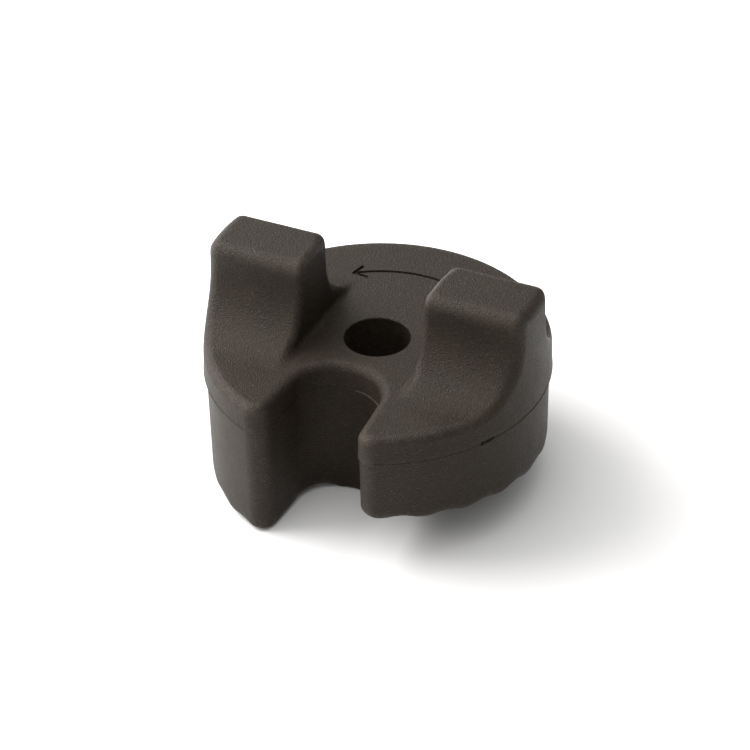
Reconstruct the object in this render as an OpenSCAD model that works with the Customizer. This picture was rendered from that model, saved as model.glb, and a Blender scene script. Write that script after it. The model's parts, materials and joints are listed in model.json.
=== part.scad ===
// Wing nut with two thumb wings, an open slot in its rim and a waved helical
// ramp under its skirt, moulded round a threaded steel bush.
// Frame: origin on the thread axis at the clamping face, +Z towards the wings,
// the rim slot opens towards -Y. Angles round the ramp are counted from the
// slot, counter-clockwise seen from above. Millimetres.

/* [Disc] */
// Diameter of the disc at its mould parting line, the widest place
grip_d = 50.3; // [44:0.1:61]
// Height of the flat top face above the clamping face
plateau_h = 22; // [18.5:0.5:26.5]
// Distance of the parting line below the flat top face
parting_drop = 4.1; // [3:0.1:5]
// Draft of the outside above the parting line, in degrees
upper_draft = 1; // [0.5:0.1:4]
// Draft of the skirt below the parting line, in degrees
lower_draft = 0.6; // [0:0.1:2.5]
// How far the skirt stands back under the parting line
parting_step = 0.35; // [0:0.05:0.5]

/* [Wings] */
// Height of the wings above the flat top face
wing_h = 12.5; // [9:0.5:16]
// Clear width between the two wings
wing_gap = 18.4; // [15:0.1:23]
// Distance of the wings' front walls in front of the thread axis
wing_front = 5.2; // [4.2:0.1:6.5]
// Distance of the wings' back walls behind the thread axis
wing_back = 4.2; // [2.8:0.1:5]
// Radius of the hollow thumb slope in front of each wing
thumb_r = 8.8; // [7:0.1:9]
// Radius of the hollow slope behind each wing
back_r = 8.2; // [4:0.1:9]
// Rounding of the wings' long top edges
wing_edge_r = 1.4; // [0.6:0.1:2]

/* [Rim slot] */
// Width of the slot at its round end
slot_w = 13.1; // [10:0.1:14]
// How much the slot has widened on each side where it meets the rim
mouth_flare = 0.4; // [0:0.1:0.8]
// Distance of the slot's deepest point from the thread axis
slot_depth_y = 8; // [7.6:0.1:9]
// Rounding of the slot's two mouth corners
mouth_r = 2.3; // [1.2:0.1:2.8]

/* [Ramp] */
// Height of the ramp above the clamping face where it starts
ramp_start_h = 8.95; // [8.9:0.05:10]
// Fall of the ramp over one full turn
ramp_lead = 8.85; // [6.5:0.05:8.9]
// Number of waves in one full turn
wave_count = 24; // [18:1:30]
// Height of one wave from crest to hollow
wave_h = 0.45; // [0.2:0.05:0.6]
// Angle of the first wave's lowest point
wave_phase = 25; // [0:1:30]

/* [Walls under the disc] */
// Thickness of the wall under the flat top face
top_wall = 3; // [2:0.1:4]
// Thickness of the skirt at the parting line
skirt_wall = 3.2; // [2.4:0.1:4]
// Thickness of the wall round the slot
slot_wall = 2.6; // [2:0.1:3.2]
// Diameter of the hub round the bush
hub_d = 18.6; // [17.2:0.1:20]
// Number of ribs between hub and skirt
rib_count = 5; // [3:1:6]
// Thickness of a rib
rib_w = 2; // [1.4:0.1:2.6]
// Height of the ribs' lower edges above the ramp
rib_setback = 1.6; // [1:0.1:2.5]
// Thickness of the walls round the hollow inside each wing
wing_wall = 2.7; // [2.2:0.1:3]

/* [Bore and bush] */
// Diameter of the clearance bore above the bush
bore_d = 9.6; // [9:0.1:10.4]
// Outer diameter of the bush
bush_d = 12.5; // [11.5:0.1:13]
// Length of the bush
bush_l = 13; // [10:0.5:14]
// Core diameter of the M8 thread, which is made as a plain bore
thread_core_d = 6.8; // [6.6:0.05:7]
// Width of the holding groove round the bush
groove_w = 2.4; // [1.6:0.1:3]
// Depth of the holding groove
groove_depth = 0.8; // [0.5:0.1:1.1]

/* [Direction mark] */
// Radius of the curved arrow sunk into the flat top face
mark_r = 17; // [14:0.5:20]
// Width of the arrow's line
mark_w = 0.8; // [0.5:0.1:1.2]
// Depth of the arrow
mark_depth = 0.4; // [0.2:0.1:0.6]
// Length of the arrow in degrees
mark_angle = 46; // [30:1:60]
// Angle of the arrow's middle, counter-clockwise from +X
mark_middle = 104; // [80:1:110]

/* [Hidden] */
$fn = 120;
past = 1;                                     // how far a cut runs past a face
grip_r = grip_d / 2;
parting_z = plateau_h - parting_drop;
wing_top_z = plateau_h + wing_h;
skirt_r = grip_r - parting_step;
skirt_foot_r = skirt_r - parting_z * tan(lower_draft);
slot_end_y = -(slot_depth_y + slot_w / 2);    // centre of the slot's round end
mouth_half = slot_w / 2 + mouth_flare;
mouth_x = mouth_half + mouth_r;
mouth_y = -sqrt(pow(grip_r - mouth_r, 2) - pow(mouth_x, 2));
ceiling_z = plateau_h - top_wall;
cavity_r = grip_r - skirt_wall;
steps_per_wave = 4;
slope_steps = 12;
mouth_short = 12;                             // the mouth rounding stops short of the rim's tangent
ramp_steps = wave_count * steps_per_wave;
mark_tip = 2.4;                               // length of the arrow head's strokes

// Radius of the drafted outside at height z above the parting line
function upper_r(z) = grip_r - (z - parting_z) * tan(upper_draft);

// Height of the ramp at an angle from the slot
function ramp_z(a) = ramp_start_h - ramp_lead * a / 360
    - wave_h / 2 * cos((a - wave_phase) * wave_count);

// Point on the ramp's cutting surface: angle, radius and height
function ramp_point(a, r, z) = [r * sin(a), -r * cos(a), z];

// Points of an arc about a centre, from one angle to another
function arc(centre, r, from, to, steps) = [for (i = [0:steps])
    let (a = from + (to - from) * i / steps) centre + r * [cos(a), sin(a)]];

// Solid of revolution: the drafted outside of disc and wings
module turned_outside() {
    rotate_extrude() polygon([[0, 0], [skirt_foot_r, 0], [skirt_r, parting_z], [grip_r, parting_z],
                              [upper_r(wing_top_z), wing_top_z], [0, wing_top_z]]);
}

// Side outline of the whole grip, Y to the right and Z up: the disc's flat top
// with one wing standing on it between its two hollow slopes
module side_outline() {
    reach = grip_r + past;
    shoulder_z = wing_top_z - wing_edge_r;
    polygon(concat(
        [[-reach, -past], [reach, -past], [reach, plateau_h]],
        arc([wing_back + back_r, plateau_h + back_r], back_r, 270, 180, slope_steps),
        arc([wing_back - wing_edge_r, shoulder_z], wing_edge_r, 0, 90, 4),
        arc([-wing_front + wing_edge_r, shoulder_z], wing_edge_r, 90, 180, 4),
        arc([-wing_front - thumb_r, plateau_h + thumb_r], thumb_r, 0, -90, slope_steps),
        [[-reach, plateau_h]]));
}

// Disc and wings in one: the turned outside, cut to the side outline, less the
// space between the wings
module disc_and_wings() {
    difference() {
        intersection() {
            turned_outside();
            rotate([90, 0, 90]) linear_extrude(grip_d + past, center = true) side_outline();
        }
        translate([-wing_gap / 2, -grip_r, plateau_h])
            cube([wing_gap, grip_d, wing_h + past]);
    }
}

// Outline of the rim slot, wider by grow on every side: a round end, and sides
// that flare a little towards the rim
module slot_outline(grow = 0) {
    end_half = slot_w / 2 + grow;
    rim_half = mouth_half + grow;
    translate([0, slot_end_y]) circle(end_half);
    polygon([[-end_half, slot_end_y], [-rim_half, mouth_y], [-rim_half, -grip_r - past],
             [rim_half, -grip_r - past], [rim_half, mouth_y], [end_half, slot_end_y]]);
}

// What rounds one mouth corner of the slot away, between its wall and the rim
module mouth_corner() {
    rim_angle = 360 + atan2(mouth_y, mouth_x);
    polygon(concat([[0, mouth_y]],
                   arc([mouth_x, mouth_y], mouth_r, 180, rim_angle - mouth_short, 4),
                   [[mouth_x, -grip_r - past], [0, -grip_r - past]]));
}

// The open slot, straight through from top to bottom
module rim_slot() {
    translate([0, 0, -past]) linear_extrude(wing_top_z + 2 * past) {
        slot_outline();
        mouth_corner();
        mirror([1, 0]) mouth_corner();
    }
}

// Everything below the waved ramp outside the bush
module below_ramp() {
    inner = bush_d / 2;
    outer = grip_r + past;
    floor_z = -2 * past;
    points = [for (i = [0:ramp_steps]) let (a = 360 * i / ramp_steps, z = ramp_z(a))
        each [ramp_point(a, inner, floor_z), ramp_point(a, outer, floor_z),
              ramp_point(a, outer, z), ramp_point(a, inner, z)]];
    last = 4 * ramp_steps;
    faces = concat(
        [[0, 3, 2, 1], [last, last + 1, last + 2, last + 3]],
        [for (i = [0:ramp_steps - 1], k = [0:3]) let (b = 4 * i, n = (k + 1) % 4)
            each [[b + k, b + 4 + n, b + 4 + k], [b + k, b + n, b + 4 + n]]]);
    polyhedron(points, faces);
}

// Ribs between hub and skirt, evenly spaced from the slot, clear of the ramp
module ribs() {
    for (i = [1:rib_count]) {
        a = 360 / (rib_count + 1) * i;
        rotate(a) translate([-rib_w / 2, -grip_r + skirt_wall / 2, ramp_z(a) + rib_setback])
            cube([rib_w, grip_r - skirt_wall / 2, plateau_h]);
    }
}

// The hollow under the disc, with slot wall and ribs left standing in it
module underside_hollow() {
    difference() {
        translate([0, 0, -past]) cylinder(h = ceiling_z + past, r = cavity_r);
        translate([0, 0, -2 * past]) linear_extrude(plateau_h + past) slot_outline(slot_wall);
        ribs();
    }
}

// The narrow hollow inside one wing, open towards the underside
module wing_hollow() {
    x0 = wing_gap / 2 + wing_wall;
    x1 = upper_r(wing_top_z) - wing_wall;
    top = wing_top_z - wing_wall;
    translate([x0, -wing_front + wing_wall, ceiling_z - past])
        cube([x1 - x0, wing_front + wing_back - 2 * wing_wall, top - ceiling_z + past]);
}

// Outside of the bush as turned: a plain barrel with one holding groove
module bush_barrel() {
    groove_z = (bush_l - groove_w) / 2;
    rotate_extrude() polygon([
        [0, 0], [bush_d / 2, 0], [bush_d / 2, groove_z],
        [bush_d / 2 - groove_depth, groove_z], [bush_d / 2 - groove_depth, groove_z + groove_w],
        [bush_d / 2, groove_z + groove_w], [bush_d / 2, bush_l], [0, bush_l]]);
}

// Curved arrow sunk into the flat top face, behind the bore
module direction_mark() {
    z = plateau_h - mark_depth;
    start = mark_middle - mark_angle / 2;
    translate([0, 0, z]) rotate(start) rotate_extrude(angle = mark_angle)
        translate([mark_r - mark_w / 2, 0]) square([mark_w, mark_depth + past]);
    rotate(start + mark_angle) translate([mark_r, 0, z])
        for (turn = [-50, 230])
            rotate(turn) translate([-mark_w / 2, -mark_w / 2, 0])
                cube([mark_tip, mark_w, mark_depth + past]);
}

// The one-piece moulding: disc, wings, skirt, hub and ribs
module grip() {
    color([0.16, 0.15, 0.14]) difference() {
        union() {
            difference() {
                disc_and_wings();
                underside_hollow();
                for (side = [0, 1]) mirror([side, 0, 0]) wing_hollow();
                below_ramp();
            }
            cylinder(h = plateau_h - top_wall / 2, d = hub_d);
        }
        rim_slot();
        bush_barrel();
        cylinder(h = plateau_h + past, d = bore_d);
        direction_mark();
    }
}

// The steel bush that the grip is moulded round
module threaded_bush() {
    color([0.72, 0.71, 0.68]) difference() {
        bush_barrel();
        translate([0, 0, -past]) cylinder(h = bush_l + 2 * past, d = thread_core_d);
    }
}

grip();
threaded_bush();
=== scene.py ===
"""A moulded wing nut with a threaded steel bush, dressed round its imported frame.

The grip is one moulding: its outside, wings, slot, ramp and ribs are described as
one rounded solid, sampled on a fine grid and turned into a mesh. The bush is
turned, and Geometry Nodes cut its thread and roll its knurl. The pieces' sizes are
millimetres from the thread axis at the clamping face. The finishes, the studio and
every mesh are in metres.
"""

import json
import logging
import math
from dataclasses import dataclass
from enum import Enum

import bpy
import numpy as np
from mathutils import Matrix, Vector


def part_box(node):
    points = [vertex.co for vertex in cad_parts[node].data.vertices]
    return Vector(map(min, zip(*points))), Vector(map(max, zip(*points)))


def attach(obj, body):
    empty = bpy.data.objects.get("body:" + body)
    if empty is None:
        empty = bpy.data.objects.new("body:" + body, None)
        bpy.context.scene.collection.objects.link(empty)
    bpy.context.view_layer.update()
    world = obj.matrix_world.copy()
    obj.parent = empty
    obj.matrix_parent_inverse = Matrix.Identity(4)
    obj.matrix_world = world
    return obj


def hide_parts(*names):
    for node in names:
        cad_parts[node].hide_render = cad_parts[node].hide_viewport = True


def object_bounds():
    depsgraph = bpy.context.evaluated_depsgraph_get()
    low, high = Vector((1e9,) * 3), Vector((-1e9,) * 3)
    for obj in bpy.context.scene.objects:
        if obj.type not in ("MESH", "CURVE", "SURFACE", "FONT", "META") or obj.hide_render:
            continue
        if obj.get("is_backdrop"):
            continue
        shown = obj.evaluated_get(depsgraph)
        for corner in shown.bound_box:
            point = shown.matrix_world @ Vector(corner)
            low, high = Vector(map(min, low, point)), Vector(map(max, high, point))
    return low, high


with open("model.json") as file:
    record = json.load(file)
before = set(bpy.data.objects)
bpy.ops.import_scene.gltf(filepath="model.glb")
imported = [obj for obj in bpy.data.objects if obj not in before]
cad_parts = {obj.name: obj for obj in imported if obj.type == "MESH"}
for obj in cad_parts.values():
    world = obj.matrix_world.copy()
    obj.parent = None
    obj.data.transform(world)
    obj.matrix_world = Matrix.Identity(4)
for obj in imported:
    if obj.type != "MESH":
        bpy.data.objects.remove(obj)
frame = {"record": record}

import openvdb
from mathutils import Matrix, Vector

LOG = logging.getLogger("wing_nut")
MM = 0.001
TURN = 2 * math.pi
BODY = "root"


# ---------------------------------------------------------------- rounded solids


def round_union(a: np.ndarray, b: np.ndarray, r: float | np.ndarray) -> np.ndarray:
    """Joins two distance fields with a hollow fillet of radius r.

    Args:
        a: Signed distance to the first solid, negative inside.
        b: Signed distance to the second solid.
        r: Fillet radius, one value or one per point.

    Returns:
        Signed distance to the filleted union.
    """
    inside = np.hypot(np.maximum(r - a, 0), np.maximum(r - b, 0))
    return np.maximum(r, np.minimum(a, b)) - inside


def round_meet(a: np.ndarray, b: np.ndarray, r: float | np.ndarray) -> np.ndarray:
    """Keeps what lies in both distance fields, with edges rounded by radius r.

    Args:
        a: Signed distance to the first solid, negative inside.
        b: Signed distance to the second solid.
        r: Edge radius, one value or one per point.

    Returns:
        Signed distance to the rounded intersection.
    """
    outside = np.hypot(np.maximum(r + a, 0), np.maximum(r + b, 0))
    return np.minimum(-r, np.maximum(a, b)) + outside


def round_meet_leaning(first: np.ndarray, second: np.ndarray, radius: float,
                       lean: float) -> np.ndarray:
    """What two solids share, its edge rounded truly where their faces are not square.

    Args:
        first: Distance to the first solid.
        second: Distance to the second solid.
        radius: Radius of the edge.
        lean: Cosine of the angle between the two faces' outward directions.

    Returns:
        Distance to the shared solid.
    """
    a, b = first + radius, second + radius
    size = (a * a + b * b - 2 * lean * a * b) / (1 - lean * lean)
    past_edge = (a > lean * b) & (b > lean * a)
    return np.where(past_edge, np.sqrt(np.maximum(size, 0)), np.maximum(a, b)) - radius


def smooth_step(t: np.ndarray) -> np.ndarray:
    """Rises smoothly from 0 to 1 as t does, and is held there outside."""
    t = np.clip(t, 0, 1)
    return t * t * (3 - 2 * t)


def eased(start: float | np.ndarray, end: float | np.ndarray, t: np.ndarray) -> np.ndarray:
    """Goes smoothly from start to end as t goes from 0 to 1."""
    return start + (end - start) * smooth_step(t)


# ---------------------------------------------------------------- mesh helpers


def new_object(name: str, mesh: bpy.types.Mesh) -> bpy.types.Object:
    """Links a mesh into the scene as an object at the origin.

    Args:
        name: Name of the piece.
        mesh: Its mesh, in metres.

    Returns:
        The new object.
    """
    mesh.name = name
    piece = bpy.data.objects.new(name, mesh)
    bpy.context.scene.collection.objects.link(piece)
    return piece


def mesh_from_grid(name: str, points: np.ndarray, quads: np.ndarray) -> bpy.types.Mesh:
    """Makes a quad mesh from arrays.

    Args:
        name: Name of the mesh.
        points: Corner positions in millimetres, one row each.
        quads: Corner numbers, four a row.

    Returns:
        The mesh, in metres.
    """
    mesh = bpy.data.meshes.new(name)
    mesh.vertices.add(len(points))
    mesh.vertices.foreach_set("co", (points * MM).astype(np.float32).ravel())
    mesh.loops.add(quads.size)
    mesh.loops.foreach_set("vertex_index", quads.astype(np.int32).ravel())
    mesh.polygons.add(len(quads))
    mesh.polygons.foreach_set("loop_start", np.arange(0, quads.size, 4, dtype=np.int32))
    mesh.update(calc_edges=True)
    mesh.validate()
    return mesh


def corner_points(mesh: bpy.types.Mesh) -> np.ndarray:
    """Reads a mesh's vertex positions.

    Args:
        mesh: The mesh, in metres.

    Returns:
        Positions in millimetres, one row each.
    """
    flat = np.empty(len(mesh.vertices) * 3, np.float32)
    mesh.vertices.foreach_get("co", flat)
    return flat.reshape(-1, 3).astype(float) / MM


def set_corner_points(mesh: bpy.types.Mesh, points: np.ndarray) -> None:
    """Moves a mesh's vertices to positions given in millimetres."""
    mesh.vertices.foreach_set("co", (points * MM).astype(np.float32).ravel())
    mesh.update()


def settle(piece: bpy.types.Object) -> None:
    """Turns a piece and its live modifiers into one plain mesh.

    Args:
        piece: The piece, which keeps its name.
    """
    bpy.context.view_layer.update()
    graph = bpy.context.evaluated_depsgraph_get()
    plain = bpy.data.meshes.new_from_object(piece.evaluated_get(graph))
    piece.modifiers.clear()
    old = piece.data
    piece.data = plain
    bpy.data.meshes.remove(old)
    plain.name = piece.name


class Joining(Enum):
    """How a tool mesh changes a piece."""

    CUT = "DIFFERENCE"
    ADD = "UNION"


def carve(piece: bpy.types.Object, tool: bpy.types.Object, how: Joining) -> None:
    """Cuts a tool mesh out of a piece or adds it, then throws the tool away.

    Args:
        piece: The piece to change.
        tool: A closed mesh.
        how: Whether the tool is cut out or added.
    """
    modifier = piece.modifiers.new(how.name, "BOOLEAN")
    modifier.operation = how.value
    modifier.solver = "MANIFOLD"
    modifier.object = tool
    before = len(piece.data.polygons)
    settle(piece)
    if len(piece.data.polygons) == before:
        LOG.warning("%s: %s changed nothing", piece.name, tool.name)
    bpy.data.objects.remove(tool)


def turned_mesh(name: str, outline: list[tuple[float, float]], sides: int) -> bpy.types.Object:
    """Turns a closed outline round the Z axis.

    Args:
        name: Name of the mesh.
        outline: Radius and height of each corner, counter-clockwise with the
            radius to the right, so that faces point outwards.
        sides: Number of sides round the axis.

    Returns:
        The turned object, a closed ring if the outline stays off the axis.
    """
    profile = np.array(outline, float)
    angles = np.arange(sides) * TURN / sides
    ring = np.stack([np.cos(angles), np.sin(angles)], 1)
    flat = ring[:, None, :] * profile[None, :, :1]
    heights = np.broadcast_to(profile[None, :, 1:], (sides, len(profile), 1))
    points = np.concatenate([flat, heights], 2).reshape(-1, 3)
    i, j = np.meshgrid(np.arange(sides), np.arange(len(profile)), indexing="ij")
    i2, j2 = (i + 1) % sides, (j + 1) % len(profile)
    n = len(profile)
    quads = np.stack([i * n + j, i2 * n + j, i2 * n + j2, i * n + j2], 2).reshape(-1, 4)
    return new_object(name, mesh_from_grid(name, points, quads))


# ---------------------------------------------------------------- node graphs


class Graph:
    """A short way to lay nodes in a tree and link them."""

    def __init__(self, tree: bpy.types.NodeTree) -> None:
        """Keeps the tree that nodes go into."""
        self.tree = tree

    def add(self, kind: str, settings: dict | None = None, **inputs: object) -> bpy.types.Node:
        """Adds one node.

        Args:
            kind: The node's type name.
            settings: Properties of the node itself.
            **inputs: Values or sockets for its inputs, spaces in a name as _.

        Returns:
            The node.
        """
        node = self.tree.nodes.new(kind)
        for key, value in (settings or {}).items():
            setattr(node, key, value)
        for key, value in inputs.items():
            self.feed(node.inputs[key.replace("_", " ")], value)
        return node

    def feed(self, socket: bpy.types.NodeSocket, value: object) -> None:
        """Links a socket to another socket, or sets its plain value.

        Args:
            socket: The input to feed.
            value: An output to link, or a number or colour.
        """
        if isinstance(value, bpy.types.NodeSocket):
            self.tree.links.new(value, socket)
        else:
            socket.default_value = value

    def math(self, operation: str, *values: object, clamp: bool = False) -> bpy.types.NodeSocket:
        """Adds one Math node.

        Args:
            operation: Name of the operation.
            *values: Its operands, numbers or sockets.
            clamp: Whether the result is held between 0 and 1.

        Returns:
            The result's socket.
        """
        node = self.add("ShaderNodeMath", {"operation": operation, "use_clamp": clamp})
        for socket, value in zip(node.inputs, values):
            self.feed(socket, value)
        return node.outputs[0]

    def remap(self, value: object, low: float, high: float, to_low: float,
              to_high: float) -> bpy.types.NodeSocket:
        """Maps a value from one range to another, held at both ends.

        Args:
            value: The number or socket to map.
            low: Start of the range that it comes in.
            high: End of that range.
            to_low: Result at the start.
            to_high: Result at the end.

        Returns:
            The result's socket.
        """
        node = self.add("ShaderNodeMapRange", {"clamp": True}, Value=value)
        for name, number in (("From Min", low), ("From Max", high),
                             ("To Min", to_low), ("To Max", to_high)):
            node.inputs[name].default_value = number
        return node.outputs[0]


def add_sockets(tree: bpy.types.NodeTree, ins: dict[str, str], outs: dict[str, str]) -> None:
    """Gives a node tree its named inputs and outputs.

    Args:
        tree: The tree.
        ins: Socket type of each input by name.
        outs: Socket type of each output by name.
    """
    for names, side in ((ins, "INPUT"), (outs, "OUTPUT")):
        for name, kind in names.items():
            tree.interface.new_socket(name=name, in_out=side, socket_type=kind)


FLOAT = "NodeSocketFloat"
GEOMETRY = "NodeSocketGeometry"
TONE_RANGE = (0.35, 0.65)
GLOSS_RANGE = (0.3, 0.7)


def run_tree(piece: bpy.types.Object, tree: bpy.types.NodeTree, values: dict[str, object]) -> None:
    """Runs a Geometry Nodes tree on a piece and keeps the plain mesh.

    Args:
        piece: The piece that the tree changes.
        tree: The Geometry Nodes tree.
        values: Value of each named input.
    """
    modifier = piece.modifiers.new(tree.name, "NODES")
    modifier.node_group = tree
    named = {s.name: s.identifier for s in tree.interface.items_tree
             if s.item_type == "SOCKET" and s.in_out == "INPUT"}
    for name, value in values.items():
        modifier[named[name]] = value
    settle(piece)


def end_tree(g: Graph, start: bpy.types.Node, geometry: bpy.types.NodeSocket) -> None:
    """Ends a Geometry Nodes tree in plain geometry with its material.

    Args:
        g: The tree's graph.
        start: Its group input, which has a Material socket.
        geometry: What the tree has made.
    """
    plain = g.add("GeometryNodeRealizeInstances", None, Geometry=geometry)
    dressed = g.add("GeometryNodeSetMaterial", None, Geometry=plain.outputs[0],
                    Material=start.outputs["Material"])
    g.feed(g.add("NodeGroupOutput").inputs["Geometry"], dressed.outputs[0])


# ---------------------------------------------------------------- shader effects


def moulded_grain_group() -> bpy.types.NodeTree:
    """Builds the spark-eroded grain of a mould, used by every moulded surface.

    Returns:
        A group that gives the grain's height, a broad mottle and sparse specks, which stand for fibre
        specks with painted glints.
    """
    tree = bpy.data.node_groups.new("moulded_grain", "ShaderNodeTree")
    add_sockets(tree, {"Grain Per Metre": FLOAT, "Mottle Per Metre": FLOAT},
                {"Height": FLOAT, "Mottle": FLOAT, "Glint Specks": FLOAT})
    pit_scale, pit_depth = 0.8, 0.55
    coarse_scale, coarse_depth = 0.22, 0.1
    speck_share, speck_core, speck_rim = 0.22, 0.15, 0.4
    g = Graph(tree)
    start = g.add("NodeGroupInput")
    place = g.add("ShaderNodeTexCoord").outputs["Object"]
    per_metre = start.outputs["Grain Per Metre"]
    fine = g.add("ShaderNodeTexNoise", None, Vector=place, Scale=per_metre,
                 Detail=3.0, Roughness=0.62)
    pits = g.add("ShaderNodeTexVoronoi", {"feature": "SMOOTH_F1"}, Vector=place,
                 Scale=g.math("MULTIPLY", per_metre, pit_scale), Smoothness=0.6)
    coarse = g.add("ShaderNodeTexNoise", None, Vector=place,
                   Scale=g.math("MULTIPLY", per_metre, coarse_scale), Detail=2.0)
    height = g.math("ADD", fine.outputs["Fac"],
                    g.math("MULTIPLY", pits.outputs["Distance"], pit_depth))
    height = g.math("ADD", height, g.math("MULTIPLY", coarse.outputs["Fac"], coarse_depth))
    mottle = g.add("ShaderNodeTexNoise", None, Vector=place,
                   Scale=start.outputs["Mottle Per Metre"], Detail=5.0, Roughness=0.6)
    # Sparse pale specks, which the plastic uses as fibre specks with painted glints.
    dots = g.add("ShaderNodeTexVoronoi", None, Vector=place, Scale=per_metre)
    lonely = g.math("LESS_THAN", g.add("ShaderNodeSeparateColor", None,
                                       Color=dots.outputs["Color"]).outputs[0], speck_share)
    glint_specks = g.math("MULTIPLY", lonely,
                    g.remap(dots.outputs["Distance"], speck_core, speck_rim, 1, 0))
    end = g.add("NodeGroupOutput")
    for name, value in (("Height", height), ("Mottle", mottle.outputs["Fac"]), ("Glint Specks", glint_specks)):
        g.feed(end.inputs[name], value)
    return tree


def wear_and_highlight_group() -> bpy.types.NodeTree:
    """Builds broken-up wear and painted highlight along edges, used by plastic and steel alike.

    Returns:
        A group that turns a smooth edge value into a patchy mask.
    """
    tree = bpy.data.node_groups.new("edge_wear_and_highlight", "ShaderNodeTree")
    add_sockets(tree, {"Edge": FLOAT, "Patches Per Metre": FLOAT}, {"Mask": FLOAT})
    g = Graph(tree)
    start = g.add("NodeGroupInput")
    place = g.add("ShaderNodeTexCoord").outputs["Object"]
    patches = g.add("ShaderNodeTexNoise", None, Vector=place,
                    Scale=start.outputs["Patches Per Metre"], Detail=6.0, Roughness=0.65)
    # Weakest patch of edge wear and painted highlight.
    least_mark = 0.25
    broken = g.remap(patches.outputs["Fac"], *TONE_RANGE, least_mark, 1)
    mask = g.math("MULTIPLY", start.outputs["Edge"], broken, clamp=True)
    g.feed(g.add("NodeGroupOutput").inputs["Mask"], mask)
    return tree


@dataclass(frozen=True)
class Finish:
    """What the finishes share: fine relief, a broad mottle and patches of wear, which on the plastic
    carry a painted highlight too.
    """

    name: str
    rough_low: float
    rough_high: float
    grain_per_metre: float
    mottle_per_metre: float
    patches_per_metre: float
    grain_strength: float
    grain_depth: float

    def begin(self, grain: bpy.types.NodeTree) -> tuple[bpy.types.Material, Graph, bpy.types.Node]:
        """Starts the material and gives it its relief.

        Args:
            grain: The moulded grain group.

        Returns:
            The material, its graph and the grain group placed in it.
        """
        material = bpy.data.materials.new(self.name)
        material.use_nodes = True
        g = Graph(material.node_tree)
        surface = g.add("ShaderNodeGroup", {"node_tree": grain},
                        Grain_Per_Metre=self.grain_per_metre, Mottle_Per_Metre=self.mottle_per_metre)
        bump = g.add("ShaderNodeBump", None, Height=surface.outputs["Height"],
                     Strength=self.grain_strength, Distance=self.grain_depth)
        g.feed(material.node_tree.nodes["Principled BSDF"].inputs["Normal"], bump.outputs["Normal"])
        return material, g, surface

    def edge_mark(self, g: Graph, wear_and_highlight_tree: bpy.types.NodeTree,
             edge: bpy.types.NodeSocket) -> bpy.types.NodeSocket:
        """Breaks an edge value up into patches of wear, which on the plastic carry a painted highlight
        too.

        Args:
            g: The material's graph.
            wear_and_highlight_tree: The group that breaks up wear, stains and painted highlight.
            edge: Where the surface wears, and on the plastic takes a painted highlight.

        Returns:
            The mask's socket.
        """
        return g.add("ShaderNodeGroup", {"node_tree": wear_and_highlight_tree}, Edge=edge,
                     Patches_Per_Metre=self.patches_per_metre).outputs["Mask"]

    def roughness(self, g: Graph, surface: bpy.types.Node) -> bpy.types.NodeSocket:
        """Lets the roughness follow the mottle, between the finish's two values."""
        return g.remap(surface.outputs["Mottle"], *GLOSS_RANGE, self.rough_low, self.rough_high)

    @staticmethod
    def blend(g: Graph, share: object, first: object, second: object) -> bpy.types.NodeSocket:
        """Mixes two colours.

        Args:
            g: The graph that the node goes into.
            share: How much of the second colour.
            first: A colour or socket.
            second: A colour or socket.

        Returns:
            The mixed colour's socket.
        """
        node = g.add("ShaderNodeMix", {"data_type": "RGBA"})
        g.feed(node.inputs[0], share)
        for socket, colour in ((node.inputs[6], first), (node.inputs[7], second)):
            g.feed(socket, (*colour, 1.0) if isinstance(colour, tuple) else colour)
        return node.outputs[2]


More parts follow.
